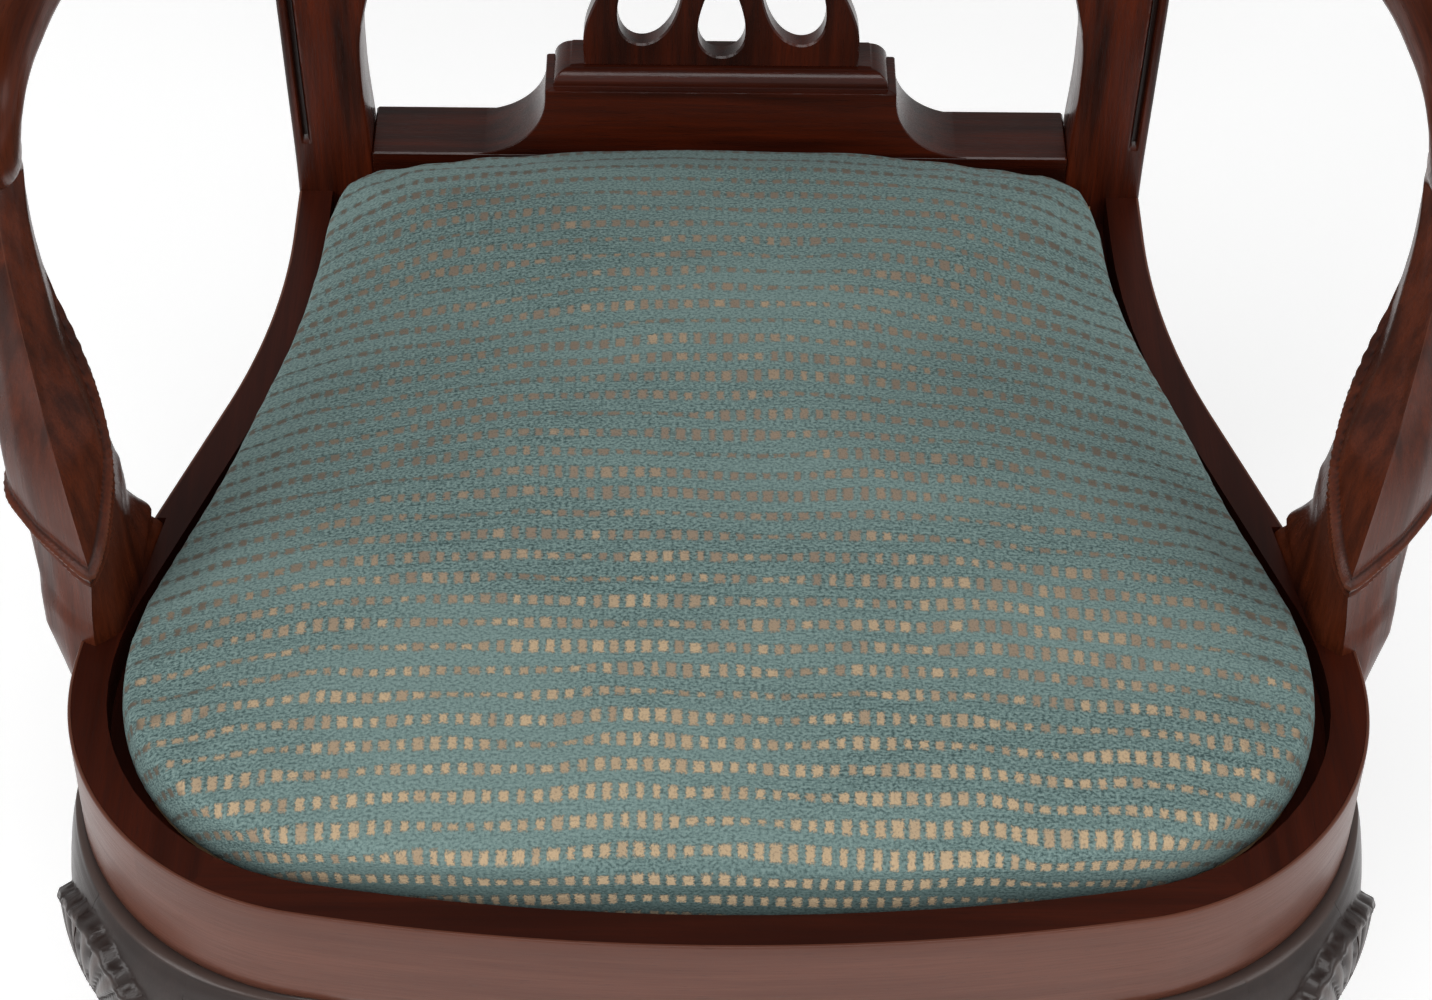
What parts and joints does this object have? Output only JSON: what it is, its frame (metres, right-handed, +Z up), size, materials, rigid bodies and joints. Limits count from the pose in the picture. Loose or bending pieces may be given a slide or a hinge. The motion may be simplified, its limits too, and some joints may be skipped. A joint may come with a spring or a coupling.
{
  "type": "open armchair",
  "caption": "Open armchair with a compass-shaped seat frame, lift-out upholstered seat, shell-carved cabriole legs, crook arms and a pierced splat back.",
  "frame": {"origin": "centre of the bounding box on the floor", "axes": "+X to the chair's right seen from the front, +Y to the back, +Z up"},
  "size_m": [0.6748, 0.599, 1.005],
  "materials": {
    "mahogany": "french polished",
    "veneer": "french polished",
    "beech": "bare",
    "steel": "plain",
    "tack_steel": "blued",
    "webbing": "herringbone jute",
    "hessian": "plain weave",
    "stuffing": "curled hair",
    "upholstery": "chenille pile",
    "lining": "black cotton"
  },
  "bodies": {
    "chair": {"front_rail": "mahogany", "side_rail_left": "mahogany", "side_rail_right": "mahogany", "back_rail": "mahogany", "front_leg_left": "mahogany", "front_leg_right": "mahogany", "knee_block_front_left": "mahogany", "knee_block_front_right": "mahogany", "knee_block_side_left": "mahogany", "knee_block_side_right": "mahogany", "back_post_left": "mahogany", "back_post_right": "mahogany", "shoe": "mahogany", "splat": "mahogany", "crest_rail": "mahogany", "arm_support_left": "mahogany", "arm_support_right": "mahogany", "arm_left": "mahogany", "arm_right": "mahogany", "front_veneer": "veneer", "side_veneer_left": "veneer", "side_veneer_right": "veneer", "corner_block_front_left": "beech", "corner_block_front_right": "beech", "corner_block_back_left": "beech", "corner_block_back_right": "beech", "arm_dowels": "beech", "arm_screws": "steel", "support_screws": "steel"},
    "loose_seat": {"seat_member_front": "beech", "seat_member_back": "beech", "seat_member_left": "beech", "seat_member_right": "beech", "webbing_long": "webbing", "webbing_cross": "webbing", "hessian": "hessian", "stuffing": "stuffing", "cover": "upholstery", "bottom_cloth": "lining", "tacks": "tack_steel"}
  },
  "joints": [
    {"name": "seat_lift", "type": "slide", "parent": "chair", "child": "loose_seat", "axis": [0, 0, 1], "range_m": [0, 0.12]}
  ]
}
